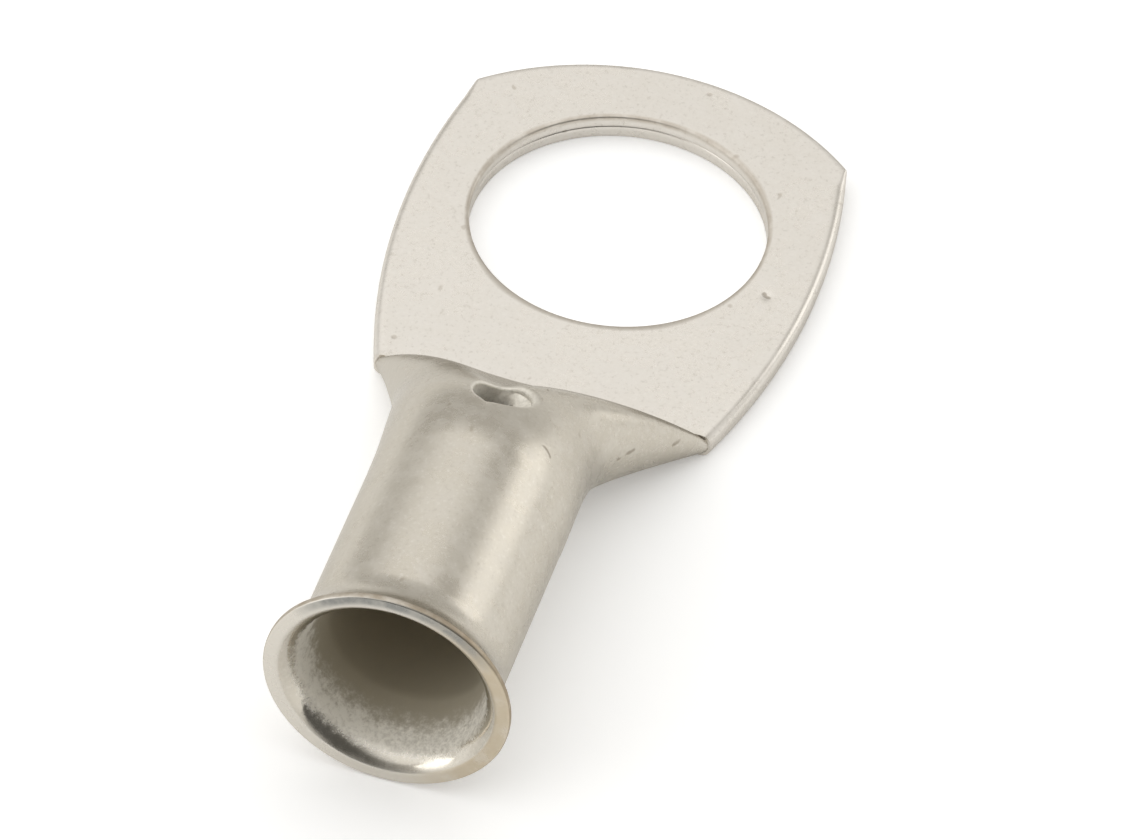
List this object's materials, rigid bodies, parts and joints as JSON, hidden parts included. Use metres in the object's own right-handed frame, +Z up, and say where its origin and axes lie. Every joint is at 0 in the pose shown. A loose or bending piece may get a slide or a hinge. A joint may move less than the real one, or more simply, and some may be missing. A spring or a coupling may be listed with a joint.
{
  "type": "ring terminal",
  "caption": "Tubular ring terminal pressed from tinned copper tube: flat palm with a stud hole, flared barrel for a crimped cable and an inspection hole on top.",
  "frame": {"origin": "on the stud hole's axis, on the palm's underside", "axes": "+X along the barrel towards the palm's tip, +Y across the palm, +Z up out of the palm's top"},
  "size_m": [0.0351, 0.015, 0.0085],
  "materials": {
    "tinned_copper": "satin tin plate on copper"
  },
  "bodies": {
    "root": {"ring_terminal": "tinned_copper"}
  },
  "joints": []
}
